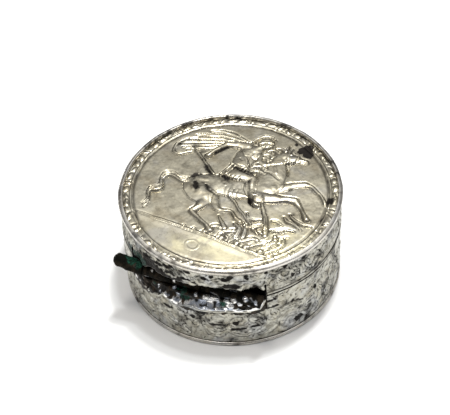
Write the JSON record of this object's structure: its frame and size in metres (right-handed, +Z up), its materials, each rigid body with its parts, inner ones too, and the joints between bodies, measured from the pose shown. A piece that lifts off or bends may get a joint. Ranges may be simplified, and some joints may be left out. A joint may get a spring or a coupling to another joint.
{
  "type": "pill box",
  "caption": "Round metal pill box: a hinged lid with a struck picture panel closes over an inner collar on an embossed base with a tube hinge set into the wall.",
  "frame": {"origin": "centre of the flat underside of the bottom plate, where the box stands", "axes": "+Z up through the middle of the box to the lid; +Y towards the hinge at the back, so the lid opens from the front at -Y; +X to the right seen from the front"},
  "size_m": [0.03, 0.0309, 0.0148],
  "materials": {
    "struck_panel": "struck silver with relief, warm grey toning and brown stains",
    "bright_edge": "burnished silver edges, lightly scratched",
    "embossed_wall": "embossed silver sheet, bright on the high parts and black in the recesses",
    "inner_silver": "plain silver inside, satin",
    "hinge_metal": "blackened silver and solder with brown and green corrosion",
    "pin_metal": "dark drawn wire"
  },
  "bodies": {
    "base": {"base_plate": "bright_edge", "base_band": "embossed_wall", "base_collar": "inner_silver", "recess_floor": "hinge_metal", "hinge_back_plate": "hinge_metal", "hinge_bearer": "hinge_metal", "base_knuckle_left": "hinge_metal", "base_knuckle_middle": "hinge_metal", "base_knuckle_right": "hinge_metal", "hinge_pin": "pin_metal"},
    "lid": {"lid_panel": "struck_panel", "lid_rim": "bright_edge", "lid_band": "embossed_wall", "lid_edge_wire": "bright_edge", "lid_hinge_plate": "inner_silver", "lid_knuckle_left": "hinge_metal", "lid_knuckle_right": "hinge_metal", "thumb_lip": "bright_edge"}
  },
  "joints": [
    {"name": "lid_hinge", "type": "hinge", "parent": "base", "child": "lid", "pos_m": [0, 0.01245, 0.00915], "axis": [-1, 0, 0], "range_deg": [0, 85]}
  ]
}
